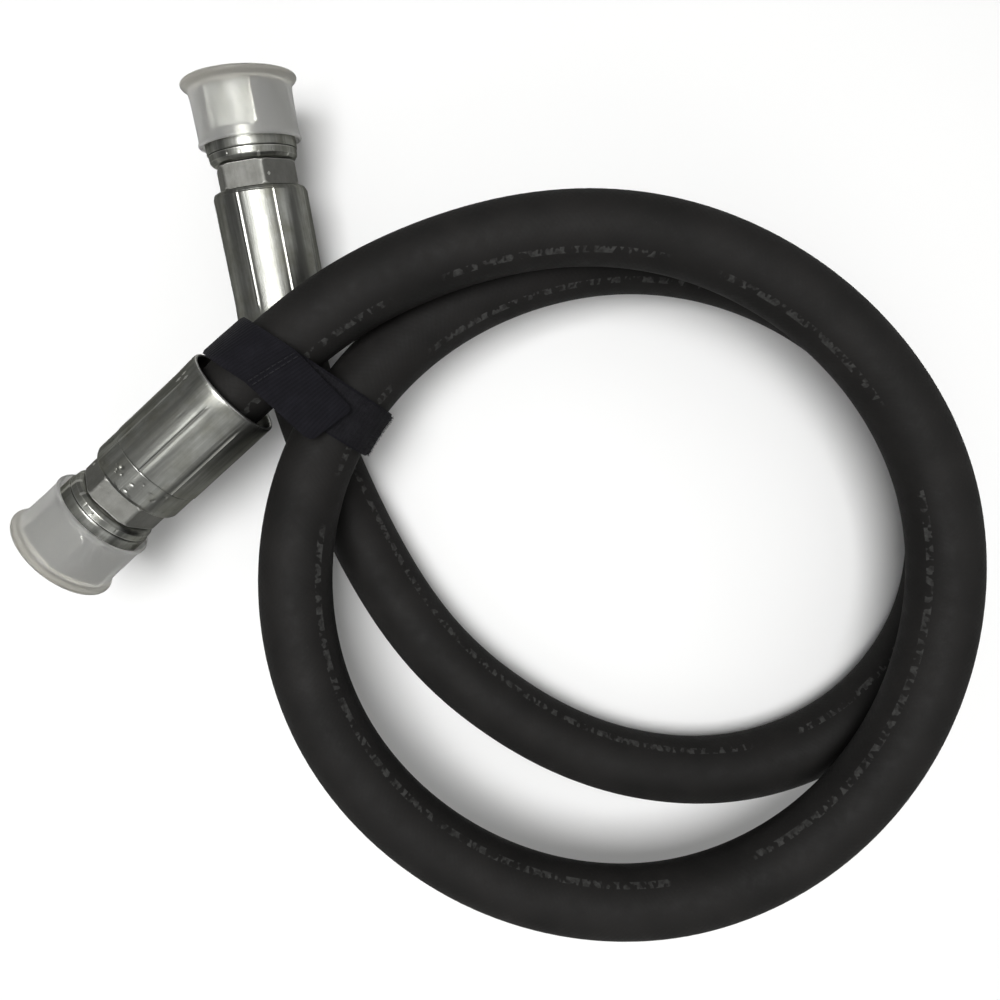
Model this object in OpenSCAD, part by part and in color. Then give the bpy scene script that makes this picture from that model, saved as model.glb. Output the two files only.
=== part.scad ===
// Crimped hydraulic hose assembly, wound in almost two turns and strapped.
// Millimetres, +Z up. It lies on Z = 0 with the middle of its box over the origin.
// Two identical end fittings: the lower one, on the top strand of the coil, and the
// upper one, on the strand that runs under it. Each has a protective cap pushed on.

/* [Hose] */
// Outside diameter of the rubber cover
hose_od = 23; // [22.6:0.1:23]
// Bore of the inner tube
hose_id = 15.9; // [15.5:0.1:16]
// Wall of the inner tube
liner_wall = 1.5; // [1.2:0.1:1.6]
// Thickness of the textile braid
braid_wall = 0.9; // [0.7:0.1:1]

/* [Crimped ferrule] */
// Length of the ferrule
ferrule_len = 44; // [44:0.5:46]
// Diameter over the crimped body
ferrule_od = 31.2; // [30.6:0.1:32]
// Diameter of the uncrimped mouth
mouth_od = 32; // [31.8:0.1:33]
// Bore at the mouth
mouth_bore = 29.4; // [28:0.1:29.6]
// Distance across a pair of crimp flats
crimp_flats = 30.5; // [30:0.1:30.6]

/* [Insert] */
// Bore through the insert
insert_bore = 12.5; // [11:0.1:13]
// Diameter over the barbs of the tail
tail_od = 16.2; // [16:0.1:16.4]
// Hexagon across flats
insert_af = 24; // [22:1:25]
// Length of the hexagon
insert_hex_len = 8; // [7:0.5:9]

/* [Swivel nut] */
// Hexagon across flats
nut_af = 27; // [26:1:27]
// Overall length of the nut
nut_len = 24; // [23:0.5:25]
// Diameter of the round collar behind the hexagon
collar_od = 29.4; // [28.6:0.1:30]
// Length of the round collar
collar_len = 10; // [9:0.5:11]
// Minor diameter of the thread
thread_minor = 20.3; // [20.1:0.1:20.5]
// Radial clearance of the nut on the insert's neck
swivel_play = 0.05; // [0.03:0.01:0.08]

/* [Protective cap] */
// Overall length of the cap
cap_len = 20; // [19:0.5:21]
// Wall of the cap
cap_wall = 0.8; // [0.7:0.1:1.2]
// Diameter of the upper cap's flange, at its closed end
upper_flange = 37.4; // [36:0.2:40]
// Diameter of the lower cap's flange
lower_flange = 36.4; // [36:0.2:40]
// Distance from the ferrule's mouth to the mouth of the cap
cap_start = 58.6; // [58:0.1:60]

/* [Strap] */
// Width of the webbing
strap_w = 16; // [14:1:18]
// Thickness of the webbing
strap_t = 1.3; // [1:0.1:1.5]
// Thickness of the hook tape and of the loop tape
pile_t = 0.7; // [0.5:0.1:0.9]

/* [Hidden] */
$fn = 64;

rubber = [0.10, 0.10, 0.10];
textile = [0.75, 0.72, 0.62];
liner = [0.16, 0.16, 0.17];
zinc = [0.66, 0.67, 0.65];
zinc_dull = [0.52, 0.53, 0.52];
cap_clear = [0.90, 0.90, 0.88, 0.6];
navy = [0.09, 0.09, 0.13];

// Where the coil's own axis stands
coil_at = [34.8, -23, 0];

// Each end: [mouth of its ferrule from the coil's axis, bearing, rise, insert turn, nut turn,
// flange of its cap]
lower_end = [[-124, 57, 46], 221, -6, 14, 36, lower_flange];
upper_end = [[-116, 85, 16], 98, 14, 22, 25, upper_flange];

// The hose between the ends runs clockwise seen from above. One row a station:
// [distance from the coil's axis, height of the hose's centre]
coil_from = 135;
coil_step = 24;
coil = [
    [124, 50], [114, 51], [109, 49], [105, 46], [104, 43],
    [105, 41], [105, 39], [107, 37], [110, 35], [112, 34.5],
    [111, 36.5], [110, 40], [110, 43], [109, 43.5], [109, 39.5],
    [107, 33], [106, 27.5], [108, 24], [111, 22], [116, 20.5],
    [119, 18], [116, 15], [104, 12.5], [88, 11.5], [74, 11.5],
    [66, 13], [64, 15], [70, 15.5], [83, 14], [112, 11],
];

grip_len = ferrule_len - 2;      // hose held in a ferrule
grip_step = grip_len / 3;
hose_sides = 12;
steps_per_span = 2;

liner_r = hose_id / 2 + liner_wall;
braid_r = liner_r + braid_wall;
layer_gap = 0.04;                // keeps the bonded layers from sharing a face

function unit(v) = v / norm(v);
function end_dir(e) = [cos(e[1]) * cos(e[2]), sin(e[1]) * cos(e[2]), sin(e[2])];
function along(e, s) = coil_at + e[0] + s * end_dir(e);
function station(i) = let (b = coil_from - i * coil_step)
    coil_at + [coil[i][0] * cos(b), coil[i][0] * sin(b), coil[i][1]];

// Control points of one uniform cubic B-spline: straight inside both ferrules
route = concat(
    [for (k = [4:-1:-1]) along(lower_end, k * grip_step)],
    [for (i = [0:len(coil) - 1]) station(i)],
    [for (k = [-1:4]) along(upper_end, k * grip_step)]
);

function spline(a, b, c, d, u) =
    (pow(1 - u, 3) * a + (3 * pow(u, 3) - 6 * u * u + 4) * b
    + (-3 * pow(u, 3) + 3 * u * u + 3 * u + 1) * c + pow(u, 3) * d) / 6;
function spline_dir(a, b, c, d, u) =
    unit(-pow(1 - u, 2) * a + (3 * u * u - 4 * u) * b + (-3 * u * u + 2 * u + 1) * c + u * u * d);

// A place on the route, counted in spans from the hose's lower end
function at(s) = let (i = min(floor(s), len(route) - 4), u = s - i)
    spline(route[i], route[i + 1], route[i + 2], route[i + 3], u);
function dir(s) = let (i = min(floor(s), len(route) - 4), u = s - i)
    spline_dir(route[i], route[i + 1], route[i + 2], route[i + 3], u);

spans = len(route) - 3;
rings = spans * steps_per_span;

function ring(s, r) = let (p = at(s), t = dir(s), side = unit(cross(t, [0, 0, 1])), up = cross(side, t))
    [for (k = [0:hose_sides - 1])
        let (a = 360 * k / hose_sides) p + r * (cos(a) * side + sin(a) * up)];

// One hollow layer of the hose, from end to end
module hose_layer(r_in, r_out) {
    n = hose_sides;
    inner = n * (rings + 1);
    points = [
        for (r = [r_out, r_in]) for (i = [0:rings]) each ring(i / steps_per_span, r)
    ];
    walls = [
        for (i = [0:rings - 1]) for (k = [0:n - 1])
            let (a = i * n + k, b = i * n + (k + 1) % n)
            each [
                [a, b, b + n], [a, b + n, a + n],
                [inner + a, inner + b + n, inner + b], [inner + a, inner + a + n, inner + b + n]
            ]
    ];
    ends = [
        for (k = [0:n - 1])
            let (a = k, b = (k + 1) % n, c = rings * n + k, d = rings * n + (k + 1) % n)
            each [[a, inner + a, inner + b, b], [c, d, inner + d, inner + c]]
    ];
    polyhedron(points, concat(walls, ends), convexity = 10);
}

module hose_cover() {
    color(rubber) hose_layer(braid_r + layer_gap, hose_od / 2);
}
module hose_braid() {
    color(textile) hose_layer(liner_r + layer_gap, braid_r);
}
module hose_inner_tube() {
    color(liner) hose_layer(hose_id / 2, liner_r);
}

// Stations along a fitting, from the ferrule's mouth outwards
insert_from = 2;
hex_from = ferrule_len;
neck_from = hex_from + insert_hex_len;
nut_from = neck_from + 0.4;
nut_end = nut_from + nut_len;
head_from = nut_from + 4.7;
head_len = 5;
neck_r = 9;
head_r = 9.9;
lock_r = 9.5;                    // the ferrule's end wall closes on this shoulder
grip_clear = 0.05;
flare = 37;                      // seat of the flared joint, to the axis
chamfer = 1.6;

// Puts a child whose +Z is the way out of a fitting onto that end of the hose
module on_end(e) {
    translate(along(e, 0)) rotate([0, 90 - e[2], e[1]]) children();
}

module turned(profile) {
    rotate_extrude() polygon(profile);
}

module hexagon_bar(af, from, to, bevel) {
    r = af / 2 / cos(30);
    intersection() {
        translate([0, 0, from]) cylinder(r = r, h = to - from, $fn = 6);
        turned([
            [0, from], [r - bevel, from], [r, from + bevel * tan(30)],
            [r, to - bevel * tan(30)], [r - bevel, to], [0, to]
        ]);
    }
}

module ferrule(e) {
    lip = 4;
    body_r = ferrule_od / 2;
    color(zinc) on_end(e) difference() {
        intersection() {
            turned([
                [0, 0], [mouth_od / 2 - 0.4, 0], [mouth_od / 2, 0.6], [mouth_od / 2, lip],
                [body_r, lip + 3], [body_r, ferrule_len - 1.4], [body_r - 1.4, ferrule_len], [0, ferrule_len]
            ]);
            union() {
                cylinder(r = mouth_od, h = lip + 3);
                rotate(e[3]) cylinder(r = crimp_flats / 2 / cos(22.5), h = ferrule_len + 1, $fn = 8);
            }
        }
        turned([
            [0, -1], [mouth_bore / 2 + 0.5, -1], [mouth_bore / 2, 0.6], [mouth_bore / 2, lip],
            [hose_od / 2 + grip_clear, lip + 4], [hose_od / 2 + grip_clear, grip_len],
            [lock_r + grip_clear, grip_len], [lock_r + grip_clear, ferrule_len + 1], [0, ferrule_len + 1]
        ]);
    }
}

// Barbed tail inside the hose, hexagon, neck that the nut turns on, flared seat
module insert(e) {
    tail_r = tail_od / 2;
    root_r = tail_r - 0.5;
    barb = 7.5;
    barbs = 4;
    bore_r = insert_bore / 2;
    head_to = head_from + head_len;
    seat_r = head_r - 0.7;
    color(zinc_dull) on_end(e) difference() {
        union() {
            turned(concat(
                [[0, insert_from], [root_r - 0.6, insert_from]],
                [for (k = [0:barbs - 1]) each [
                    [tail_r, insert_from + 1.5 + k * barb], [tail_r, insert_from + 3.5 + k * barb],
                    [root_r, insert_from + 4 + k * barb], [root_r, insert_from + 1 + (k + 1) * barb]
                ]],
                [[tail_r, grip_len - 4], [tail_r, grip_len], [lock_r, grip_len], [lock_r, hex_from + 0.5],
                [neck_r, hex_from + 0.5], [neck_r, head_from + 0.1], [head_r, head_from + 0.1],
                [head_r, head_to], [0, head_to]]
            ));
            rotate(e[3]) hexagon_bar(insert_af, hex_from, neck_from, 0.8);
        }
        cylinder(r = bore_r, h = nut_end);
        turned([
            [0, head_to - (seat_r - bore_r) / tan(flare)], [bore_r, head_to - (seat_r - bore_r) / tan(flare)],
            [seat_r, head_to], [seat_r, head_to + 1], [0, head_to + 1]
        ]);
    }
}

module swivel_nut(e) {
    collar_r = collar_od / 2;
    crimp_from = nut_from + 3.4;     // step of the skirt that is rolled in behind the head
    color(zinc) on_end(e) difference() {
        union() {
            turned([
                [0, nut_from], [collar_r - 1.8, nut_from], [collar_r - 0.5, nut_from + 1.3],
                [collar_r - 0.4, crimp_from], [collar_r, crimp_from + 0.5],
                [collar_r, nut_from + collar_len], [0, nut_from + collar_len]
            ]);
            rotate(e[4]) hexagon_bar(nut_af, nut_from + collar_len - 1, nut_end, chamfer);
        }
        translate([0, 0, nut_from - 1]) cylinder(r = neck_r + swivel_play, h = nut_len);
        translate([0, 0, head_from]) cylinder(r = thread_minor / 2, h = nut_len);
        translate([0, 0, head_from]) cylinder(r = thread_minor / 2 + 0.8, h = head_len + 0.6);
        turned([
            [0, nut_end - 1], [thread_minor / 2, nut_end - 1], [thread_minor / 2 + 1, nut_end],
            [thread_minor / 2 + 1, nut_end + 1], [0, nut_end + 1]
        ]);
    }
}

// Closed cap of soft clear plastic, with a bead at its mouth and a flange at its end
module protective_cap(e) {
    in_r = nut_af / 2 / cos(30) + 0.06;
    out_r = in_r + cap_wall;
    cap_end = cap_start + cap_len;
    end_t = 1.4;
    flange_t = 1.8;
    bead = 0.35;
    color(cap_clear) on_end(e) turned([
        [in_r, cap_start], [out_r + bead, cap_start], [out_r + bead, cap_start + 1.2],
        [out_r, cap_start + 1.8],
        [out_r, cap_end - flange_t - 0.6], [out_r + 0.6, cap_end - flange_t],
        [e[5] / 2 - 0.4, cap_end - flange_t], [e[5] / 2, cap_end - flange_t / 2],
        [e[5] / 2 - 0.4, cap_end], [0, cap_end],
        [0, cap_end - end_t], [in_r - 0.6, cap_end - end_t], [in_r, cap_end - end_t - 0.6]
    ]);
}

// The strap lies across the coil's top strand, 0, and the strand beside it, 1
strap_turn = -33;                // bearing of its length
strap_mid = -6.8;                // middle of its width, from the coil's axis
strap_spans = [3.8, 19.2];       // route places near which it crosses the two strands
strap_u = [cos(strap_turn), sin(strap_turn), 0];
strap_v = [-sin(strap_turn), cos(strap_turn), 0];
loose = 0.45;                    // slack between the webbing and the rubber

function across(s) = (at(s) - coil_at) * strap_v;

// Route place where strand k passes the plane w across the strap
function crossing(k, w) = let (s = strap_spans[k], step = 0.2)
    s + step * (w - across(s)) / (across(s + step) - across(s));

// Centre of strand k in that plane: [along, height]
function strand(k, w) = let (
        s = crossing(k, w), p = at(s) - coil_at, t = dir(s),
        c = p + t * (w - p * strap_v) / (t * strap_v)
    ) [c * strap_u, c[2]];

// The straight stretch on top lies between the two strands' highest tangents
function lean(w) = let (a = strand(0, w), b = strand(1, w)) atan2(b[0] - a[0], a[1] - b[1]);

// Place on the wrap by its angle from the straight stretch: over strand 1 down to
// half a turn, over strand 0 the rest
function around(w, turn, grow) = let (
        k = turn > 0 || turn < -180 ? 0 : 1, a = lean(w) + turn, c = strand(k, w),
        t = dir(crossing(k, w)), r = [hose_od / 2 / abs(t * strap_v) + grow, hose_od / 2 + grow],
        q = c + [r[0] * r[0] * cos(a), r[1] * r[1] * sin(a)] / norm([r[0] * cos(a), r[1] * sin(a)])
    ) coil_at + q[0] * strap_u + w * strap_v + [0, 0, q[1]];
function along_top(w, share, grow) =
    around(w, 0.01, grow) * (1 - share) + around(w, -0.01, grow) * share;

// Skin over cuts of four points each: [near edge low, near high, far high, far low]
module ribbon(cuts) {
    n = len(cuts);
    walls = [
        for (i = [0:n - 2]) for (k = [0:3])
            let (a = 4 * i + k, b = 4 * i + (k + 1) % 4, c = b + 4, d = a + 4)
            each k == 3 ? [[a, b, d], [d, b, c]] : [[a, b, c], [a, c, d]]
    ];
    ends = [[3, 2, 1, 0], [4 * n - 4, 4 * n - 3, 4 * n - 2, 4 * n - 1]];
    polyhedron([for (c = cuts) each c], concat(walls, ends), convexity = 6);
}

w_low = strap_mid - strap_w / 2;
w_high = strap_mid + strap_w / 2;
tape_edge = 1;
tape_gap = 0.15;
band_top = loose + strap_t;
tail_low = band_top + 2 * pile_t + 3 * tape_gap;
top_cuts = 8;

function bend(turn, low) = [
    for (e = [[w_low, low], [w_low, low + strap_t], [w_high, low + strap_t], [w_high, low]])
        around(e[0], turn, e[1])
];
function lie(inset, share, low, high, drift = 0) = [
    for (e = [[w_low + inset, low], [w_low + inset, high], [w_high - inset, high], [w_high - inset, low]])
        along_top(e[0] + drift * share, share, e[1])
];

// A strip on top of the strap, from one share of the straight stretch to another. It
// strays sideways by drift over the whole stretch
module flat_strip(inset, low, high, from, to, drift = 0) {
    ribbon([for (k = [0:top_cuts]) lie(inset, from + (to - from) * k / top_cuts, low, high, drift)]);
}

// One turn of webbing: it starts under its own tail, passes round both strands and
// climbs over its start, where the tail goes on from it
turn_step = 10;
climb_from = -220;
climb_to = -320;
band_turns = concat(
    [for (t = [-turn_step:-turn_step:-180]) [t, loose]],
    [for (t = [-180.01, -190, -200, -210, climb_from]) [t, loose]],
    [for (t = [climb_from - turn_step:-turn_step:climb_to])
        [t, loose + (tail_low - loose) * (t - climb_from) / (climb_to - climb_from)]],
    [for (t = [climb_to - turn_step:-turn_step:-350]) [t, tail_low]],
    [[-359.99, tail_low]]
);
tail_root = 0.03;
tail_tip = 0.9;
tail_drift = -5.6;

module strap_band() {
    color(navy) ribbon(concat(
        [bend(12, loose)],
        [for (k = [0:top_cuts]) lie(0, k / top_cuts, loose, band_top)],
        [for (t = band_turns) bend(t[0], t[1])]
    ));
}
module strap_loop_tape() {
    color(navy) flat_strip(tape_edge, band_top + tape_gap, band_top + tape_gap + pile_t, 0.06, 0.96);
}
module strap_hook_tape() {
    hook_high = tail_low - tape_gap;
    color(navy) flat_strip(tape_edge, hook_high - pile_t, hook_high, 0.12, 0.86, tail_drift);
}
module strap_tail() {
    color(navy) flat_strip(0, tail_low, tail_low + strap_t, tail_root, tail_tip, tail_drift);
}

hose_cover();
hose_braid();
hose_inner_tube();
ferrule(upper_end);  // upper_ferrule
insert(upper_end);  // upper_insert
swivel_nut(upper_end);  // upper_swivel_nut
protective_cap(upper_end);  // upper_cap
ferrule(lower_end);  // lower_ferrule
insert(lower_end);  // lower_insert
swivel_nut(lower_end);  // lower_swivel_nut
protective_cap(lower_end);  // lower_cap
strap_band();
strap_tail();
strap_hook_tape();
strap_loop_tape();
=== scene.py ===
"""Looks of the coiled hydraulic hose assembly. Lengths are in metres; mm turns millimetres into them."""
import functools
import math

import bpy
import numpy as np
from mathutils import Matrix, Vector


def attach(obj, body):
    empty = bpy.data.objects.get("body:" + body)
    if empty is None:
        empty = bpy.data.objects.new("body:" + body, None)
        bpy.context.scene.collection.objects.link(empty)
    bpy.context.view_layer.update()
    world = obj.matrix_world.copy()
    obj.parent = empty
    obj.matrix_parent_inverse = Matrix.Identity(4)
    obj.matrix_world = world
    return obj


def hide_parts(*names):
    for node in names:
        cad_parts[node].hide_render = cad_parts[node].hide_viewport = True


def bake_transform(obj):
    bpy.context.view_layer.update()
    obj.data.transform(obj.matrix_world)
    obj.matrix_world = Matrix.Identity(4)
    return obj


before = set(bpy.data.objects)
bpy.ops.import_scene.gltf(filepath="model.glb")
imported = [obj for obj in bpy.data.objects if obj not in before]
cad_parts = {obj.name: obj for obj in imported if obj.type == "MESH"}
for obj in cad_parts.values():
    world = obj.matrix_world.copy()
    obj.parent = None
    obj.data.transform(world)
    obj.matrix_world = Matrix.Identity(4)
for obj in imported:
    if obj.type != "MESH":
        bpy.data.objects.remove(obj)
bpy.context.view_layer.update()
mm = 0.001


# ---------------------------------------------------------------- camera

def make_camera():
    """Straight down from the photograph's height; the image's up is +Y."""
    data = bpy.data.cameras.new("camera")
    data.sensor_width = 36
    data.lens = 29.16
    data.clip_start = 0.01
    camera = bpy.data.objects.new("camera", data)
    camera.location = (-6.2 * mm, 0, 300 * mm)
    bpy.context.scene.collection.objects.link(camera)
    bpy.context.scene.camera = camera


make_camera()


# ---------------------------------------------------------------- materials

class Nodes:
    """A new material, and short ways to add and join its nodes."""

    def __init__(self, name, **sockets):
        self.material = bpy.data.materials.new(name)
        self.material.use_nodes = True
        self.tree = self.material.node_tree
        self.shader = self.tree.nodes["Principled BSDF"]
        for socket, value in sockets.items():
            self.shader.inputs[socket.replace("_", " ")].default_value = value
        self.coords = self.tree.nodes.new("ShaderNodeTexCoord")

    def add(self, kind, links=(), **values):
        node = self.tree.nodes.new("ShaderNode" + kind)
        for name, value in values.items():
            if hasattr(node, name):
                setattr(node, name, value)
            else:
                node.inputs[name.replace("_", " ")].default_value = value
        for socket, source in dict(links).items():
            self.tree.links.new(source, node.inputs[socket])
        return node

    def space(self, scale=(1, 1, 1), kind="Object"):
        """Coordinates of the object itself, or its UV map, stretched by scale."""
        return self.add("Mapping", {"Vector": self.coords.outputs[kind]}, Scale=scale).outputs[0]

    def noise(self, vector, scale, detail=4.0, roughness=0.6, distortion=0.0):
        return self.add("TexNoise", {"Vector": vector}, Scale=scale, Detail=detail,
                        Roughness=roughness, Distortion=distortion).outputs["Fac"]

    def ramp(self, source, *stops):
        """Colours by value: each stop is (position, grey or rgb)."""
        node = self.add("ValToRGB", {"Fac": source})
        elements = node.color_ramp.elements
        while len(elements) < len(stops):
            elements.new(0.5)
        for element, (place, colour) in zip(elements, stops):
            element.position = place
            rgb = colour if hasattr(colour, "__len__") else (colour,) * 3
            element.color = (*rgb, 1)
        return node.outputs["Color"]

    def mix(self, factor, a, b, blend="MIX"):
        node = self.add("Mix", data_type="RGBA", blend_type=blend)
        for socket, value in ((0, factor), (6, a), (7, b)):
            if hasattr(value, "links"):
                self.tree.links.new(value, node.inputs[socket])
            else:
                node.inputs[socket].default_value = value
        return node.outputs[2]

    def math(self, operation, a, b=0.5):
        node = self.add("Math", operation=operation)
        for socket, value in ((0, a), (1, b)):
            if hasattr(value, "links"):
                self.tree.links.new(value, node.inputs[socket])
            else:
                node.inputs[socket].default_value = value
        return node.outputs[0]

    def bump(self, height, strength, distance, normal=None):
        links = {"Height": height}
        if normal:
            links["Normal"] = normal
        return self.add("Bump", links, Strength=strength, Distance=distance).outputs["Normal"]

    def threads(self, uv, turn, scale, **values):
        """Stripes across a UV map, turned by an angle."""
        turned = self.add("Mapping", {"Vector": uv}, Rotation=(0, 0, turn)).outputs[0]
        return self.add("TexWave", {"Vector": turned}, Scale=scale, **values).outputs["Fac"]

    def paint(self, **links):
        for socket, source in links.items():
            self.tree.links.new(source, self.shader.inputs[socket.replace("_", " ")])
        return self.material


thread_turn = 0.95              # slant in radians of the cover's cloth print and of the braid's yarns


def shade(colour, times):
    """A colour made darker or lighter."""
    return tuple(min(1, c * times) for c in colour[:3]) + (1,)


def rubber_material():
    """Matte black cover: speckle, the fine print of its curing cloth and a line of ink marks."""
    n = Nodes("rubber_cover", IOR=1.5, Specular_IOR_Level=0.16)
    body = n.space()
    blotch = n.noise(body, 60, 5)
    speck = n.noise(body, 1400, 3, 0.75)
    colour = n.mix(n.ramp(blotch, (0.35, 0), (0.7, 1)),
                   (0.0082, 0.0078, 0.0074, 1), (0.0135, 0.0126, 0.0120, 1))
    colour = n.mix(n.ramp(speck, (0.62, 0), (0.80, 0.55)), colour, (0.030, 0.028, 0.026, 1))
    uv = n.coords.outputs["UV"]
    split = n.add("SeparateXYZ", {"Vector": uv})
    around, along = split.outputs["X"], split.outputs["Y"]

    # Ink marks: short bars of several lengths in one row, in groups, worn through in places
    row = n.math("LESS_THAN", n.math("ABSOLUTE", n.math("SUBTRACT", around, ink_place)), 1.15 * mm)
    strokes = n.add("CombineXYZ", {"X": n.math("MULTIPLY", along, 420), "Y": n.math("MULTIPLY", around, 260)})
    bar = n.noise(strokes.outputs[0], 1, 1)
    group = n.noise(n.add("CombineXYZ", {"X": n.math("MULTIPLY", along, 22)}).outputs[0], 1, 0)
    worn = n.noise(body, 500, 3)
    mark = n.math("MULTIPLY", row, n.ramp(bar, (0.49, 0), (0.53, 1)))
    mark = n.math("MULTIPLY", mark, n.ramp(group, (0.40, 0), (0.43, 1)))
    mark = n.math("MULTIPLY", mark, n.ramp(worn, (0.35, 0.15), (0.65, 0.75)))
    colour = n.mix(mark, colour, (0.060, 0.060, 0.058, 1))

    cloth = [n.math("MULTIPLY", n.threads(uv, turn, 210, Distortion=0.6, Detail=1), 0.35)
             for turn in (thread_turn, -thread_turn)]
    relief = n.math("ADD", n.math("ADD", *cloth), n.math("MULTIPLY", speck, 1.2))
    rough = n.ramp(n.noise(body, 240, 4), (0.3, 0.60), (0.75, 0.78))
    return n.paint(Base_Color=colour, Roughness=rough, Normal=n.bump(relief, 0.35, 0.12 * mm))


def yarn_material():
    """Crossing textile yarns, off-white."""
    n = Nodes("textile_braid", Roughness=0.9)
    uv = n.coords.outputs["UV"]
    weave = n.math("MAXIMUM", n.threads(uv, thread_turn, 160), n.threads(uv, -thread_turn, 160))
    # Painted shade: the colour goes dark where the weave dips between the yarns
    colour = n.mix(weave, (0.30, 0.27, 0.20, 1), (0.66, 0.61, 0.50, 1))
    return n.paint(Base_Color=colour, Normal=n.bump(weave, 0.8, 0.3 * mm))


def liner_material():
    n = Nodes("inner_rubber", Roughness=0.4)
    body = n.space()
    cloud = n.noise(body, 90)
    colour = n.mix(cloud, (0.008, 0.008, 0.009, 1), (0.02, 0.02, 0.021, 1))
    return n.paint(Base_Color=colour, Roughness=n.ramp(cloud, (0.3, 0.32), (0.7, 0.5)),
                   Normal=n.bump(n.noise(body, 900), 0.2, 0.05 * mm))


def zinc_material(name, base, cloudy, rough, streak, pits):
    """Zinc-plated steel. Its local Z is the fitting's axis, and the streaks run along it."""
    n = Nodes(name, Metallic=1.0, Specular_Tint=(0.42, 0.42, 0.40, 1))
    drawn = n.noise(n.space((900, 900, 26)), 1, 5, 0.7)
    broad = n.noise(n.space((240, 240, 18)), 1, 3)
    cloud = n.noise(n.space(), 130, 4)
    fine = n.noise(n.space(), 2600, 3, 0.7)
    edge = n.add("NewGeometry").outputs["Pointiness"]
    colour = n.mix(n.ramp(cloud, (0.38, 0), (0.68, 1)), base, cloudy)
    bands = n.math("MULTIPLY", n.ramp(broad, (0.40, 0), (0.62, 1)), streak)
    colour = n.mix(bands, colour, shade(base, 0.42))
    colour = n.mix(n.ramp(drawn, (0.52, 0), (0.72, 0.5 * streak)), colour, shade(base, 0.5))
    # Painted highlight: convex edges, found by pointiness, have their colour pushed toward a pale grey
    colour = n.mix(n.ramp(edge, (0.515, 0), (0.56, 0.75)), colour, (0.74, 0.74, 0.70, 1))
    # Painted highlight: the first 0.3 mm of the fitting, the ferrule's mouth rim, is coloured almost white
    height = n.add("SeparateXYZ", {"Vector": n.coords.outputs["Object"]}).outputs["Z"]
    painted_rim_highlight = n.math("LESS_THAN", height, 0.3 * mm)
    colour = n.mix(painted_rim_highlight, colour, (0.95, 0.95, 0.93, 1))
    gloss = n.math("ADD", n.math("MULTIPLY", drawn, 0.22), n.math("MULTIPLY", cloud, 0.16))
    gloss = n.math("ADD", gloss, rough - 0.19)
    relief = n.math("ADD", n.math("MULTIPLY", drawn, streak), n.math("MULTIPLY", fine, pits))
    return n.paint(Base_Color=colour, Roughness=gloss, Normal=n.bump(relief, 0.6, 0.09 * mm))


def cap_material():
    """Milky soft plastic that lets the nut show through, blurred, and yellows where it is thick."""
    n = Nodes("clear_cap", IOR=1.25, Transmission_Weight=0.86, Specular_IOR_Level=0.3)
    body = n.space()
    cloud = n.noise(body, 70, 3)
    height = n.add("SeparateXYZ", {"Vector": body}).outputs["Z"]
    thick = n.ramp(n.math("MULTIPLY", n.math("SUBTRACT", height, 72 * mm), 150), (0.30, 0), (0.75, 1))
    colour = n.mix(cloud, (0.945, 0.94, 0.925, 1), (0.905, 0.905, 0.89, 1))
    colour = n.mix(thick, colour, (0.86, 0.84, 0.78, 1))
    scuff = n.noise(n.space((260, 260, 260)), 1, 4, 0.7)
    return n.paint(Base_Color=colour, Roughness=n.ramp(scuff, (0.3, 0.285), (0.75, 0.33)),
                   Normal=n.bump(n.math("ADD", cloud, n.math("MULTIPLY", scuff, 0.03)), 0.06, 0.12 * mm))


def webbing_material(name, low, high, ribs):
    """Woven tape. Its UV map is (across, along) in metres; ribs is how many of its ribs go in a metre."""
    n = Nodes(name, Roughness=0.86, Specular_IOR_Level=0.12, Sheen_Weight=0.03, Sheen_Roughness=0.5)
    uv = n.coords.outputs["UV"]
    fleck = n.noise(n.add("Mapping", {"Vector": uv}, Scale=(2600, 5200, 1)).outputs[0], 1, 3, 0.7)
    cloud = n.noise(n.space(), 220, 4)
    split = n.add("SeparateXYZ", {"Vector": uv})
    yarn = n.math("SINE", n.math("MULTIPLY", split.outputs["X"], 2 * math.pi * 2200), 0)
    rib = n.math("SINE", n.math("MULTIPLY", split.outputs["Y"], 2 * math.pi * ribs), 0)
    weave = n.math("ADD", n.math("MULTIPLY", rib, 0.5), n.math("MULTIPLY", yarn, 0.35))
    colour = n.mix(n.ramp(fleck, (0.30, 0), (0.78, 1)), low, high)
    # Painted shade: the colour goes darker where the ribbed weave dips, in its hollows
    painted_hollow_shade = n.ramp(n.math("ADD", n.math("MULTIPLY", weave, 0.4), 0.5), (0.15, 0.45), (0.5, 0))
    colour = n.mix(painted_hollow_shade, colour, shade(low, 0.45))
    colour = n.mix(n.ramp(cloud, (0.45, 0), (0.8, 0.3)), colour, shade(high, 1.6))
    return n.paint(Base_Color=colour, Normal=n.bump(n.math("ADD", weave, fleck), 0.6, 0.10 * mm))


# Where the ink marks run round the hose, along its girth from the seam
hose_r = 11.5 * mm
seam = math.radians(-90)
ink_place = math.radians(40 + 90) * hose_r
rib_pitch = 1.15 * mm

RUBBER = rubber_material()
YARN = yarn_material()
LINER = liner_material()
ZINC = zinc_material("zinc_bright", (0.37, 0.375, 0.35, 1), (0.25, 0.25, 0.215, 1), 0.33, 0.85, 0.25)
DULL = zinc_material("zinc_dull", (0.25, 0.25, 0.235, 1), (0.18, 0.18, 0.165, 1), 0.56, 0.15, 0.9)
CAP = cap_material()
WEB = webbing_material("webbing", (0.0030, 0.0029, 0.0043, 1), (0.0105, 0.0100, 0.0135, 1), 1 / rib_pitch)
PILE = webbing_material("pile", (0.0045, 0.0043, 0.0055, 1), (0.0170, 0.0165, 0.0195, 1), 900)
THREAD = webbing_material("thread", (0.010, 0.010, 0.012, 1), (0.035, 0.034, 0.038, 1), 1600)


# ---------------------------------------------------------------- mesh helpers

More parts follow.
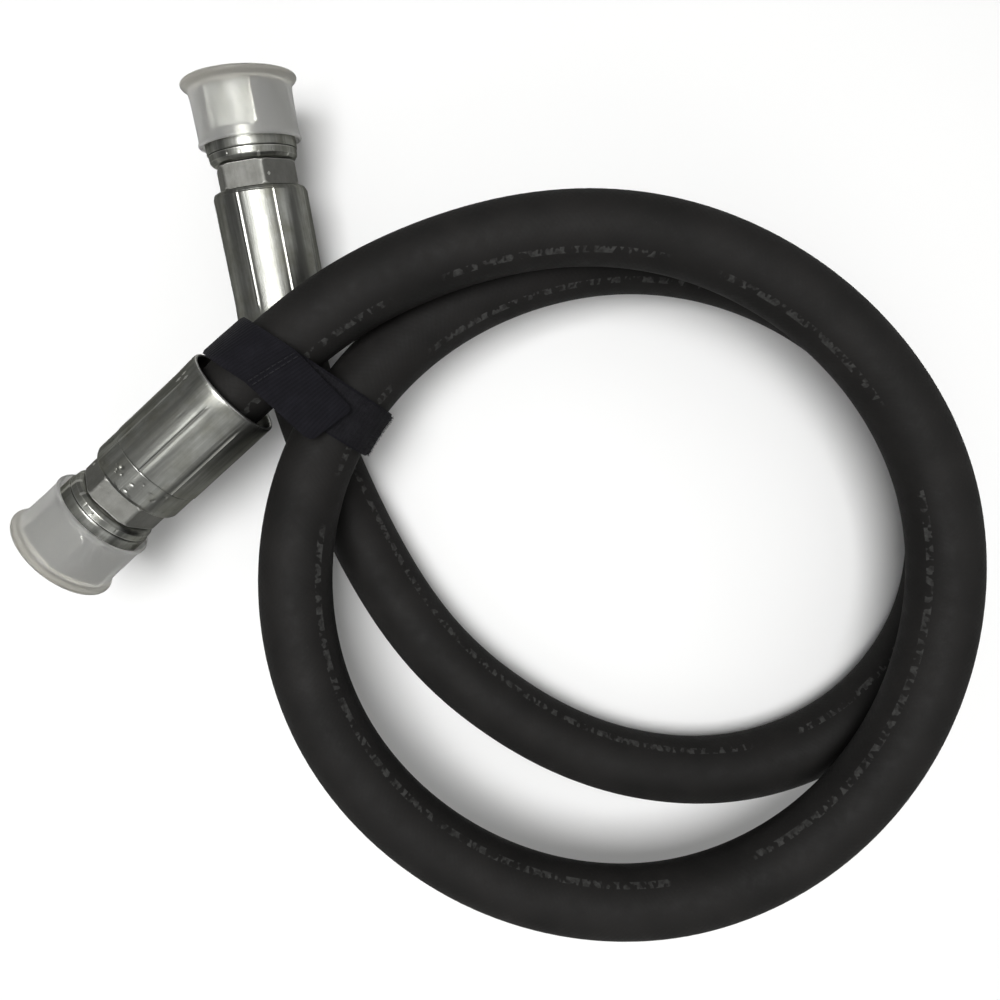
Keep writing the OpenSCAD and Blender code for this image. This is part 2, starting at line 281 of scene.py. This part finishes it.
def piece(name, vertices, faces, material, body, matrix=None, uv=None, replaces=(), sharp=40):
    """A mesh object in place, riding on a body. uv is one pair for each vertex."""
    mesh = bpy.data.meshes.new(name)
    mesh.from_pydata([tuple(v) for v in vertices], [], [tuple(f) for f in faces])
    mesh.update()
    mesh.validate()
    if uv is not None:
        layer = mesh.uv_layers.new(name="UVMap")
        corner = np.array([loop.vertex_index for loop in mesh.loops])
        layer.data.foreach_set("uv", np.asarray(uv, np.float32)[corner].ravel())
    mesh.shade_smooth()
    mesh.set_sharp_from_angle(angle=math.radians(sharp))
    mesh.materials.append(material)
    obj = bpy.data.objects.new(name, mesh)
    bpy.context.scene.collection.objects.link(obj)
    if matrix is not None:
        obj.matrix_world = matrix
    if body:
        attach(obj, body)
    if replaces:
        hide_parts(*replaces)
    return obj


def loft(rings, joined=True, capped=False):
    """Points and faces through rings of equal size. joined closes the last ring on the first."""
    count, sides = len(rings), len(rings[0])
    points = np.concatenate(rings)
    faces = []
    for i in range(count if joined else count - 1):
        a, b = i * sides, ((i + 1) % count) * sides
        for k in range(sides):
            m = (k + 1) % sides
            faces.append((a + k, a + m, b + m, b + k))
    if capped:
        faces.append(tuple(reversed(range(sides))))
        faces.append(tuple(range((count - 1) * sides, count * sides)))
    return points, faces


# ---------------------------------------------------------------- hose

def direction(bearing, rise):
    b, r = math.radians(bearing), math.radians(rise)
    return np.array([math.cos(b) * math.cos(r), math.sin(b) * math.cos(r), math.sin(r)])


# The route of the hose, as in the CAD source: where each ferrule's mouth is from the coil's
# axis, its bearing and rise, and how its insert and its nut are turned
coil_at = np.array([34.8, -23, 0]) * mm
ends = {
    "lower": dict(mouth=coil_at + np.array([-124, 57, 46]) * mm, bearing=221, rise=-6, insert=14, nut=36),
    "upper": dict(mouth=coil_at + np.array([-116, 85, 16]) * mm, bearing=98, rise=14, insert=22, nut=25),
}
coil_from, coil_step = 135, 24
coil = [
    (124, 50), (114, 51), (109, 49), (105, 46), (104, 43),
    (105, 41), (105, 39), (107, 37), (110, 35), (112, 34.5),
    (111, 36.5), (110, 40), (110, 43), (109, 43.5), (109, 39.5),
    (107, 33), (106, 27.5), (108, 24), (111, 22), (116, 20.5),
    (119, 18), (116, 15), (104, 12.5), (88, 11.5), (74, 11.5),
    (66, 13), (64, 15), (70, 15.5), (83, 14), (112, 11),
]
grip_step = 14 * mm


def station(i):
    b = math.radians(coil_from - i * coil_step)
    return coil_at + np.array([coil[i][0] * math.cos(b), coil[i][0] * math.sin(b), coil[i][1]]) * mm


def along(end, distance):
    return ends[end]["mouth"] + distance * direction(ends[end]["bearing"], ends[end]["rise"])


route = np.array(
    [along("lower", k * grip_step) for k in (4, 3, 2, 1, 0, -1)]
    + [station(i) for i in range(len(coil))]
    + [along("upper", k * grip_step) for k in (-1, 0, 1, 2, 3, 4)]
)
spans = len(route) - 3


def at(s):
    """Place on the route and direction there, for an array of places counted in spans."""
    s = np.asarray(s, float)
    i = np.minimum(s.astype(int), spans - 1)
    u = (s - i)[..., None]
    a, b, c, d = (route[i + k] for k in range(4))
    place = ((1 - u) ** 3 * a + (3 * u ** 3 - 6 * u * u + 4) * b
             + (-3 * u ** 3 + 3 * u * u + 3 * u + 1) * c + u ** 3 * d) / 6
    heading = -(1 - u) ** 2 * a + (3 * u * u - 4 * u) * b + (-3 * u * u + 2 * u + 1) * c + u * u * d
    return place, heading / np.linalg.norm(heading, axis=-1, keepdims=True)


places, headings = at(np.linspace(0, spans, spans * 12 + 1))
run = np.concatenate([[0], np.cumsum(np.linalg.norm(np.diff(places, axis=0), axis=1))])


def hose_layer(name, r_out, r_in, sides, material, node):
    """One layer of the hose. UV is (girth from the seam underneath, distance along)."""
    side = np.cross(headings, (0, 0, 1))
    side /= np.linalg.norm(side, axis=1, keepdims=True)
    up = np.cross(side, headings)
    angles = seam + np.linspace(0, 2 * math.pi, sides + 1)
    skins, uvs = [], []
    for r in (r_out, r_in):
        ring = np.cos(angles)[None, :, None] * side[:, None] + np.sin(angles)[None, :, None] * up[:, None]
        skins.append(places[:, None] + r * ring)
        uvs.append(np.stack(np.broadcast_arrays((angles - seam)[None] * r, run[:, None]), -1))
    n, m = len(places), sides + 1
    faces = []
    for skin in (0, 1):
        base = skin * n * m
        for i in range(n - 1):
            for k in range(sides):
                a, b = base + i * m + k, base + (i + 1) * m + k
                faces.append((a, a + 1, b + 1, b) if skin == 0 else (b, b + 1, a + 1, a))
    for i, flip in ((0, False), (n - 1, True)):
        for k in range(sides):
            a, b = i * m + k, n * m + i * m + k
            faces.append((a + 1, a, b, b + 1) if not flip else (a, a + 1, b + 1, b))
    points = np.concatenate([s.reshape(-1, 3) for s in skins])
    uv = np.concatenate([u.reshape(-1, 2) for u in uvs])
    return piece(name, points, faces, material, "hose", uv=uv, replaces=(node,))


cover = hose_layer("hose_rubber", hose_r, 10.4 * mm, 56, RUBBER, "hose_cover")
braid = hose_layer("hose_yarns", 10.3 * mm, 9.5 * mm, 24, YARN, "hose_braid")
liner = hose_layer("hose_liner", 9.4 * mm, 7.95 * mm, 24, LINER, "hose_inner_tube")


# ---------------------------------------------------------------- fittings

def end_matrix(end):
    """The fitting's own frame: Z along its axis, out of the hose, from its ferrule's mouth."""
    e = ends[end]
    return (Matrix.Translation(Vector(e["mouth"])) @ Matrix.Rotation(math.radians(e["bearing"]), 4, "Z")
            @ Matrix.Rotation(math.radians(90 - e["rise"]), 4, "Y"))


def softmin(a, b, k):
    """The smaller of two radii, with the corner between them rounded over about k."""
    h = np.clip(0.5 + 0.5 * (b - a) / k, 0, 1)
    return b * (1 - h) + a * h - k * h * (1 - h)


def polygon_r(theta, across, sides, turn):
    """Radius of a regular bar across flats, at angles theta. Its corners are at turn."""
    step = 2 * math.pi / sides
    local = np.mod(theta - math.radians(turn), step) - step / 2
    return across / 2 / np.cos(local)


def profile(z, points):
    """Radius at z on an outline of (z, radius) points."""
    zs, rs = zip(*points)
    return float(np.interp(z, zs, rs))


def levels(breaks, step):
    """Heights no further apart than step that include every break, twice over where it is given twice."""
    out = []
    for a, b in zip(breaks, breaks[1:]):
        if b - a > 1e-3:
            out += list(np.linspace(a, b, max(1, math.ceil((b - a) / step)) + 1)[:-1])
        else:
            out.append(a)
    return out + [breaks[-1]]


def shell(name, outside, inside, sides, turn, material, end, body, node, sharp=35):
    """A solid of revolution with features. outside and inside are (heights in mm, radius function)."""
    theta = math.radians(turn) + np.linspace(0, 2 * math.pi, sides, endpoint=False)
    rings = []
    for heights, radius in (outside, (inside[0][::-1], inside[1])):
        for z in heights:
            r = radius(theta, z) * np.ones(sides)
            rings.append(np.stack([r * np.cos(theta), r * np.sin(theta), np.full(sides, z)], 1) * mm)
    points, faces = loft(rings)
    return piece(name, points, faces, material, body, end_matrix(end),
                 replaces=(node,), sharp=sharp)


def scattered(rng, count, heights, halves, talls):
    """Marks for nicks: (angle, height, half length round, half length along) in degrees and mm."""
    return [(rng.uniform(0, 360), rng.uniform(*heights), rng.uniform(*halves), rng.uniform(*talls))
            for _ in range(count)]


def nicks(theta, z, marks, depth):
    """How deep the marks' small dents are, at angles theta and height z."""
    out = np.zeros_like(theta)
    for angle, height, wide, tall in marks:
        if abs(z - height) < 3 * tall:
            d = (theta - math.radians(angle) + math.pi) % (2 * math.pi) - math.pi
            out += depth * np.exp(-((d / math.radians(wide)) ** 2) - ((z - height) / tall) ** 2)
    return out


def make_ferrule(end, seed, die_edge, turn):
    """Crimped shell: eight die lands, a raised line between two dies, and the dies' edge with its nicks."""
    rng = np.random.default_rng(seed)
    lands = rng.uniform(-0.05, 0.03, 8)
    marks = scattered(rng, int(6 * (44 - die_edge)), (die_edge + 0.6, 43.8), (0.5, 2.6), (0.15, 0.5))
    scratches = scattered(rng, 24, (6, 33), (0.35, 0.6), (1.5, 5))
    body = [(0, 15.25), (0.2, 15.6), (0.6, 15.78), (3.4, 15.76), (9, 15.6), (42.6, 15.55),
            (43.5, 15.15), (44, 14.2)]
    bore = [(0, 15.0), (0.35, 14.75), (3, 14.5), (8, 11.55), (42, 11.55), (42.01, 9.55), (44, 9.55)]

    def outside(theta, z):
        base = profile(z, body)
        step = math.pi / 4
        local = np.mod(theta - math.radians(turn), step)
        which = (np.floor_divide(theta - math.radians(turn), step).astype(int)) % 8
        fade = np.clip((z - 4) / 4, 0, 1)
        land = fade * (lands[which] - 0.12 * np.cos((local / step - 0.5) * math.pi) ** 2)
        off = np.minimum(local, step - local) * 15.5
        ridge = fade * (0.17 * np.exp(-(off / 0.2) ** 2) - 0.08 * np.exp(-((off - 0.7) / 0.3) ** 2))
        ridge *= 0.35 if z > die_edge else 1
        edge = -0.14 / (1 + math.exp(-(z - die_edge) / 0.12)) - 0.12 * math.exp(-((z - die_edge) / 0.16) ** 2)
        return base + land + ridge + edge - nicks(theta, z, marks, 0.16) - nicks(theta, z, scratches, 0.05)

    def inside(theta, z):
        return profile(z, bore) + 0 * theta

    outer = [0, 0.07, 0.15, 0.3, 0.5, 1.5]
    outer += levels([3.4, 7, 34], 0.7)[:-1] + levels([34, 42.6, 43.5, 44], 0.2)
    outer = sorted(set(outer) | set(np.round(np.arange(die_edge - 0.4, die_edge + 0.5, 0.1), 3)))
    inner = [0, 0.1, 0.35, 1, 3, 5, 8, 9, 42, 42.01, 44]
    return shell(f"{end}_ferrule_crimped", (outer, outside), (inner, inside), 360, turn, ZINC, end, "hose",
                 f"{end}_ferrule")


def make_insert(end, seed):
    """Barbed tail, hexagon with dull pitted faces, neck and flared head."""
    rng = np.random.default_rng(seed)
    turn = ends[end]["insert"]
    dents = scattered(rng, 60, (44.6, 51.4), (0.5, 1.6), (0.1, 0.35))
    stem = [(2, 7.1), (3, 7.6), (38, 7.6), (38.01, 8.1), (42, 8.1), (42.01, 9.5), (44, 9.5)]

    def outside(theta, z):
        if z < 44:
            barb = 8.1 if (z - 2) % 7.5 < 2.5 else 7.6
            return max(profile(z, stem), barb if z < 38 else 0) + 0 * theta
        if z <= 52:
            ring = profile(z, [(44, 13.0), (44.5, 13.65), (51.5, 13.65), (52, 13.0)])
            flat = polygon_r(theta, 24, 6, turn)
            return softmin(flat, ring + 0 * theta, 0.25) - nicks(theta, z, dents, 0.06)
        return profile(z, [(52.01, 9), (57.2, 9), (57.21, 9.9), (61.9, 9.9), (62.1, 9.7)]) + 0 * theta

    def inside(theta, z):
        return profile(z, [(2, 6.25), (58.1, 6.25), (62.1, 9.2)]) + 0 * theta

    outer = levels([z for z, r in stem], 1.0)[:-1] + [44.0] + levels([44.01, 44.5, 51.5, 52], 0.35)
    outer += levels([52.01, 57.2, 57.21, 61.9, 62.1], 1.5)
    inner = [2, 30, 58.1, 60, 62.1]
    return shell(f"{end}_insert_hexagon", (outer, outside), (inner, inside), 300, turn, DULL, end, "hose",
                 f"{end}_insert", 50)


def make_nut(end, seed):
    """Swivel nut: rolled skirt with staking marks, collar, chamfered hexagon and a real thread inside."""
    rng = np.random.default_rng(seed)
    turn = ends[end]["nut"]
    pitch = 25.4 / 14
    stakes = [(k * 45 + rng.uniform(-5, 5) + turn, 54.6, 0.55, 0.8) for k in range(8)]
    stakes += [(k * 45 + 13 + rng.uniform(-4, 4) + turn, 54.3, 0.5, 0.7) for k in range(8)]
    dents = scattered(rng, 50, (56, 76), (0.3, 1.2), (0.1, 0.5))

    def outside(theta, z):
        collar = profile(z, [(52.4, 12.7), (52.8, 13.5), (53.7, 14.2), (55.7, 14.35), (55.85, 14.05),
                             (56.0, 14.6), (56.3, 14.7), (62.1, 14.7), (62.4, 14.5), (62.41, 0)])
        ring = profile(z, [(61.4, 14.0), (62.4, 15.55), (75.5, 15.55), (76.4, 14.1)])
        hexagon = softmin(polygon_r(theta, 27, 6, turn), ring + 0 * theta, 0.3) if z >= 61.4 else 0 * theta
        return np.maximum(collar, hexagon) - nicks(theta, z, stakes, 0.22) - nicks(theta, z, dents, 0.05)

    def inside(theta, z):
        if z < 62.8:
            relief = [(52.4, 9.05), (57.1, 9.05), (57.11, 10.95), (62.7, 10.95), (62.8, 10.6)]
            return profile(z, relief) + 0 * theta
        phase = np.mod(z / pitch - theta / (2 * math.pi), 1)
        depth = 0.85 * np.clip(1.15 * (1 - np.abs(2 * phase - 1)) - 0.12, 0, 0.9)
        fade = min(1, (76.0 - z) / 1.2) if z < 76 else 0
        return profile(z, [(62.8, 10.15), (75.2, 10.15), (76.4, 11.2)]) + depth * max(fade, 0)

    outer = levels([52.4, 52.8, 53.7, 55.7], 0.25)[:-1] + levels([55.7, 55.85, 56.0, 56.3], 0.08)[:-1]
    outer += levels([56.3, 61.4, 62.1, 62.4], 0.5) + [62.41] + levels([62.6, 75.5, 76.4], 0.4)
    inner = [52.4, 54, 57.1, 57.11, 60, 62.7] + levels([62.8, 75.2, 76.4], 0.17)
    return shell(f"{end}_nut_threaded", (outer, outside), (inner, inside), 300, turn, ZINC, end, f"{end}_nut",
                 f"{end}_swivel_nut", 40)


def make_cap(end, flange, seed):
    """Push-on cap: beaded mouth, thin wall that is a little out of round, flared rim round its closed end."""
    rng = np.random.default_rng(seed)
    phase = rng.uniform(0, 2 * math.pi, 3)
    outline = [
        (58.6, 15.66), (58.5, 16.0), (58.6, 16.6), (59.1, 16.85), (59.7, 16.75), (60.3, 16.42), (62, 16.38),
        (66, 16.42), (70, 16.46), (73, 16.5), (75, 16.7), (76, 17.1), (76.6, flange - 0.8),
        (77.1, flange - 0.15), (77.7, flange), (78.2, flange - 0.2), (78.6, flange - 0.9),
        (78.6, flange - 2.2), (78.3, 15.2), (78.1, 9), (78.1, 0.05),
    ]
    hollow = [
        (77.1, 0.05), (77.1, 9), (77.1, 14.6), (76.6, 15.5), (75.6, 15.66), (66, 15.66), (59, 15.66),
    ]
    sides = 128
    theta = np.linspace(0, 2 * math.pi, sides, endpoint=False)
    rings = []
    for z, r in outline[::-1] + hollow[::-1]:
        wave = 1 + 0.004 * np.cos(2 * theta + phase[0]) + 0.003 * np.cos(3 * theta + phase[1]) * (z - 58) / 20
        lift = 0.12 * np.cos(2 * theta + phase[2]) * max(0, (r - 16.4) / 2.5) if z > 74 else 0
        radius = r * (wave if r > 15.8 else 1)
        height = np.full(sides, z) + lift
        rings.append(np.stack([radius * np.cos(theta), radius * np.sin(theta), height], 1) * mm)
    points, faces = loft(rings, joined=False, capped=True)
    faces = [tuple(reversed(f)) for f in faces]
    obj = piece(f"{end}_cap_milky", points, faces, CAP, f"{end}_cap", end_matrix(end),
                replaces=(f"{end}_cap",), sharp=60)
    smooth = obj.modifiers.new("round", "SUBSURF")
    smooth.levels = smooth.render_levels = 1
    return obj


# Each fitting's cap rim radius, height of its crimping dies' edge, and turn of its ferrule
for seed, (end, flange, die_edge, turn) in enumerate((("lower", 18.2, 34.2, -10), ("upper", 18.7, 42.6, 29))):
    make_ferrule(end, 10 + seed, die_edge, turn)
    make_insert(end, 20 + seed)
    make_nut(end, 30 + seed)
    make_cap(end, flange, 40 + seed)


# ---------------------------------------------------------------- strap

strap_turn = math.radians(-33)
strap_u = np.array([math.cos(strap_turn), math.sin(strap_turn), 0])
strap_v = np.array([-math.sin(strap_turn), math.cos(strap_turn), 0])
strap_mid, strap_w, strap_t = -6.8 * mm, 16 * mm, 1.3 * mm
strap_spans = (3.8, 19.2)
loose = 0.45 * mm
pile_t = 0.7 * mm
band_top = loose + strap_t
tail_low = band_top + 2 * pile_t + 0.45 * mm
tail_tip = 0.96
tail_drift = -5.6 * mm
half = strap_w / 2
rib_high = 0.11 * mm
seam_turn = 3                   # where the band goes over into its tail


def crossing(k, w):
    """Place and direction of strand k, 0 on top and 1 beside it, where it passes the plane w of the strap."""
    s = np.linspace(strap_spans[k] - 1, strap_spans[k] + 1, 401)
    place, heading = at(s)
    off = (place - coil_at) @ strap_v
    s = float(np.interp(w, off, s))
    place, heading = at(s)
    return place - coil_at, heading


class Slice:
    """The two strands' sections in one plane across the strap."""

    def __init__(self, w):
        self.w = w
        self.centre, self.radii = [], []
        for k in (0, 1):
            place, heading = crossing(k, w)
            self.centre.append(np.array([place @ strap_u, place[2]]))
            self.radii.append(np.array([hose_r / abs(heading @ strap_v), hose_r]))
        a, b = self.centre
        self.lean = math.atan2(b[0] - a[0], a[1] - b[1])

    def around(self, turn, grow, k=None):
        """Point at an angle from the straight stretch on top, as in the CAD source."""
        if k is None:
            k = 0 if turn > 0 or turn < -180 else 1
        a = self.lean + math.radians(turn)
        r = self.radii[k] + grow
        n = np.array([math.cos(a), math.sin(a)])
        q = self.centre[k] + r * r * n / np.linalg.norm(r * n)
        return coil_at + q[0] * strap_u + self.w * strap_v + np.array([0, 0, q[1]])

    def top(self, share, grow):
        return self.around(0, grow, 0) * (1 - share) + self.around(0, grow, 1) * share


@functools.lru_cache(None)
def section(w):
    return Slice(w)


def skin(stations, ws, grow, drift):
    """Points over the strip: one row a station (turn or None, share, height), one column for each w."""
    def place(turn, share, height, w):
        cut = section(round(w + drift * share, 7))
        return cut.top(share, height + grow) if turn is None else cut.around(turn, height + grow)
    return np.array([[place(*station, w) for w in ws] for station in stations])


def web_strip(name, stations, thick, columns, material, body, node, drift=0.0, skew=0.0, corner=0.0):
    """A strip of ribbed webbing, resampled finely enough for its ribs. skew is how much longer its +v edge
    is, and corner is the radius at its tip. Its UV map is (across, along)."""
    across = np.linspace(-1, 1, columns) * half
    skins = [skin(stations, strap_mid + across, grow, drift) for grow in (0, thick)]
    s = np.linalg.norm(np.diff(skins[1][:, columns // 2], axis=0), axis=1)
    s = np.concatenate([[0], np.cumsum(s)])
    length = s[-1]
    fine = np.linspace(0, length, int(length / (rib_pitch / 7)) + 1)

    # Each column ends at its own place on the skewed, rounded tip
    past = np.clip(np.abs(across) - (half - corner), 0, None)
    rounding = corner - np.sqrt(np.maximum(corner ** 2 - past ** 2, 0))
    ends_at = length - skew * (half - across) / (2 * half) - rounding
    from_here = length - 9 * mm
    pull = np.clip((fine[:, None] - from_here) / (length - from_here), 0, 1)
    along_s = fine[:, None] - pull * (length - ends_at)
    low, high = (
        np.array([[np.interp(along_s[:, c], s, rows[:, c, x]) for x in range(3)]
                  for c in range(columns)]).transpose(2, 0, 1)
        for rows in skins
    )
    normal = high - low
    normal /= np.linalg.norm(normal, axis=-1, keepdims=True)
    edge = np.clip((np.abs(across) - (half - 0.6 * mm)) / (0.6 * mm), 0, 1)
    ribs = rib_high * np.abs(np.sin(math.pi * along_s / rib_pitch)) ** 0.7 - rib_high
    high = high + normal * (ribs * (1 - 0.6 * edge) - 0.38 * mm * edge ** 2)[..., None]
    low = low + normal * (0.25 * mm * edge ** 2)[..., None]

    across = np.broadcast_to(across, along_s.shape)
    rings, uvs = [], []
    for i in range(len(fine)):
        rings.append(np.concatenate([high[i], low[i][::-1]]))
        row = np.stack([across[i], along_s[i]], 1)
        uvs.append(np.concatenate([row, row[::-1]]))
    points, faces = loft(rings, joined=False, capped=True)
    return piece(name, points, faces, material, body, uv=np.concatenate(uvs),
                 replaces=(node,), sharp=50)


def arc(first, last, step, low, high=None):
    """Stations from one turn to another, rising from low to high."""
    high = low if high is None else high
    turns = np.arange(first, last - 1e-6, -step) if first > last else np.arange(first, last + 1e-6, step)
    return [(float(t), 0, low + (high - low) * (first - t) / (first - last)) for t in turns]


def top_run(first, last, height, count=24):
    return [(None, float(sh), height) for sh in np.linspace(first, last, count)]


band_stations = (
    arc(12, 1, 1, loose) + top_run(0, 1, loose) + arc(-1, -179, 3, loose) + arc(-181, -220, 3, loose)
    + arc(-223, -320, 3, loose, tail_low) + arc(-323, seam_turn - 360, 2, tail_low)
)
tail_stations = arc(seam_turn, 0.5, 0.5, tail_low) + top_run(0, tail_tip, tail_low, 60)
web_strip("strap_band_woven", band_stations, strap_t, 17, WEB, "hose", "strap_band")
tail = web_strip("strap_tail_woven", tail_stations, strap_t, 25, WEB, None, "strap_tail",
                 drift=tail_drift, skew=3 * mm, corner=2.4 * mm)
middle = section(strap_mid)
root, free = tuple(middle.top(0.0, tail_low)), tuple(middle.top(0.16, tail_low))
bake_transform(tail)


def stitches(shares, count):
    """Rows of thread across the tail's root, where it is sewn down to the band."""
    stitch, rise, thread_r, sides = 1.35 * mm, 0.26 * mm, 0.17 * mm, 6
    sunk = tail_low + strap_t - 0.12 * mm
    points, faces = [], []
    for share in shares:
        for k in range(count):
            w_at = strap_mid + tail_drift * share + (2 * k + 1 - count) / count * (half - 0.6 * mm)
            bow = np.linspace(0, 1, 7)
            path = np.array([
                section(round(w_at + (t - 0.5) * stitch, 7)).top(share, sunk + rise * math.sin(math.pi * t))
                for t in bow
            ])
            angles = np.linspace(0, 2 * math.pi, sides, endpoint=False)
            circle = np.cos(angles)[:, None] * strap_u + np.sin(angles)[:, None] * np.array([0, 0, 1])
            ring_points, ring_faces = loft([p + thread_r * circle for p in path], joined=False, capped=True)
            faces += [tuple(i + len(points) for i in f) for f in ring_faces]
            points += list(ring_points)
    uv = np.stack([(np.array(points) - coil_at) @ strap_v, (np.array(points) - coil_at) @ strap_u], 1)
    return piece("strap_stitches", points, faces, THREAD, None, uv=uv, sharp=60)


def pile(name, stations, inset, thick, spacing, height, hooked, body, node, seed):
    """Backing with a field of small loops, standing on the band, or hooks, hanging from the tail."""
    rng = np.random.default_rng(seed)
    w_in = half - inset
    columns = 9
    ws = strap_mid + np.linspace(-1, 1, columns) * w_in
    low, high = (skin(stations, ws, grow, tail_drift if hooked else 0) for grow in (0, thick))
    rings = [np.concatenate([high[i], low[i][::-1]]) for i in range(len(low))]
    points, faces = loft(rings, joined=False, capped=True)
    points, faces = list(points), list(faces)
    length = float(np.linalg.norm(np.diff(high[:, 4], axis=0), axis=1).sum())
    base, normal_sign = (low, -1) if hooked else (high, 1)
    rows, across = int(length / spacing), int(2 * w_in / spacing)
    sag, thin = 0.05 * mm, 0.035 * mm
    triangle = [strap_v * thin] + [-strap_v * thin * 0.5 + strap_u * thin * side for side in (0.87, -0.87)]
    for i in range(rows):
        for j in range(across):
            fi = (i + rng.uniform(0.2, 0.8)) / rows * (len(base) - 1)
            fj = (j + rng.uniform(0.2, 0.8)) / across * (columns - 1)
            a, b = int(fi), int(fj)
            further, beside = base[min(a + 1, len(base) - 1), b], base[a, min(b + 1, columns - 1)]
            root = base[a, b] + (further - base[a, b]) * (fi - a) + (beside - base[a, b]) * (fj - b)
            up = (high[a, b] - low[a, b])
            up = up / np.linalg.norm(up) * normal_sign
            turn = rng.uniform(0, 2 * math.pi)
            lean = math.cos(turn) * strap_v + math.sin(turn) * strap_u
            tall, wide = height * rng.uniform(0.7, 1.1), 0.28 * mm * rng.uniform(0.7, 1.2)
            sweep = np.linspace(0, math.pi * (0.8 if hooked else 1.0), 6)
            path = [root - up * sag]
            path += [root + up * tall * math.sin(min(q, 2.2)) ** 0.7 + lean * wide * (1 - math.cos(q))
                     for q in sweep[1:]]
            if not hooked:
                path[-1] = root + lean * 2 * wide - up * sag
            start = len(points)
            for p in path:
                points += [p + corner for corner in triangle]
            for m in range(start, start + 3 * (len(path) - 1), 3):
                faces += [(m + c, m + (c + 1) % 3, m + 3 + (c + 1) % 3, m + 3 + c) for c in range(3)]
    points = np.array(points)
    flat = np.stack([(points - coil_at) @ strap_v, (points - coil_at) @ strap_u], 1)
    return piece(name, points, faces, PILE, body, uv=flat, replaces=(node,), sharp=60)


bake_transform(stitches((0.02, 0.075), 8))

loop_low = band_top + 0.02 * mm
pile("strap_loops", top_run(0.06, 1, loop_low, 20) + arc(-2, -78, 4, loop_low), 0.7 * mm, 0.35 * mm,
     0.55 * mm, 0.33 * mm, False, "hose", "strap_loop_tape", 5)
pile("strap_hooks", top_run(0.14, tail_tip - 0.12, tail_low - 0.36 * mm, 20), 1.2 * mm, 0.34 * mm, 0.8 * mm,
     0.4 * mm, True, "strap_flap", "strap_hook_tape", 6)


# ---------------------------------------------------------------- floor and light

WALL = (0.85, 0.85, 0.845, 1)


def make_floor():
    """Plain pale floor, painted darker where it is seen in glossy reflections. Out of the softbox's reach it
    fades to the wall's paleness, which lights nothing.
    """
    n = Nodes("floor", Roughness=0.75)
    cloud = n.noise(n.space(), 3, 3)
    colour = n.mix(cloud, (0.86, 0.86, 0.86, 1), (0.90, 0.90, 0.895, 1))
    ray = n.add("LightPath")
    # Painted darker reflection: to glossy rays the floor's colour drops to a mid grey, which darkens the
    # metal's flanks
    n.paint(Base_Color=n.mix(ray.outputs["Is Glossy Ray"], colour, (0.42, 0.42, 0.41, 1)))
    away = n.add("VectorMath", {0: n.space()}, operation="LENGTH").outputs["Value"]
    fade = n.math("MULTIPLY", n.ramp(away, (0.35, 0), (0.9, 1)), ray.outputs["Is Camera Ray"])
    pale = n.add("MixShader", {0: fade, 1: n.shader.outputs[0], 2: n.add("Emission", Color=WALL).outputs[0]})
    n.tree.links.new(pale.outputs[0], n.tree.nodes["Material Output"].inputs["Surface"])
    size = 12.0
    corners = [(-size, -size, 0), (size, -size, 0), (size, size, 0), (-size, size, 0)]
    floor = piece("floor", corners, [(0, 1, 2, 3)], n.material, None)


def area_light(name, place, target, size, power, colour=(1, 1, 1)):
    data = bpy.data.lights.new(name, "AREA")
    data.shape = "RECTANGLE"
    data.size, data.size_y = size
    data.energy = power
    data.color = colour
    light = bpy.data.objects.new(name, data)
    light.location = place
    light.rotation_euler = (Vector(target) - Vector(place)).to_track_quat("-Z", "Y").to_euler()
    bpy.context.scene.collection.objects.link(light)


def make_light():
    """A softbox above, faint low fills on the right and in front, and a dim room, darker towards the horizon,
    with a pale wall behind it."""
    area_light("softbox_top", (-0.12, -0.02, 1.1), (-0.02, 0, 0), (0.55, 0.55), 11)
    area_light("fill_right", (1.2, 0.2, 0.7), (0, 0, 0), (1.0, 0.7), 1.4)
    area_light("fill_front", (0.1, -1.2, 0.8), (0, 0, 0), (1.2, 0.8), 2.2)
    world = bpy.data.worlds.new("room")
    bpy.context.scene.world = world
    world.use_nodes = True
    tree = world.node_tree
    coords = tree.nodes.new("ShaderNodeTexCoord")
    split = tree.nodes.new("ShaderNodeSeparateXYZ")
    ramp = tree.nodes.new("ShaderNodeValToRGB")
    ramp.color_ramp.elements[0].position = 0.05
    ramp.color_ramp.elements[0].color = (0.13, 0.13, 0.135, 1)
    ramp.color_ramp.elements[1].position = 0.95
    ramp.color_ramp.elements[1].color = (0.40, 0.40, 0.39, 1)
    tree.links.new(coords.outputs["Generated"], split.inputs[0])
    tree.links.new(split.outputs["Z"], ramp.inputs["Fac"])
    seen = tree.nodes.new("ShaderNodeLightPath").outputs["Is Camera Ray"]
    backdrop = tree.nodes.new("ShaderNodeMix")
    backdrop.data_type = "RGBA"
    backdrop.inputs[7].default_value = WALL
    tree.links.new(seen, backdrop.inputs[0])
    tree.links.new(ramp.outputs["Color"], backdrop.inputs[6])
    tree.links.new(backdrop.outputs[2], tree.nodes["Background"].inputs["Color"])
    tree.nodes["Background"].inputs["Strength"].default_value = 1
    bpy.context.scene.view_settings.view_transform = "Standard"


make_floor()
make_light()
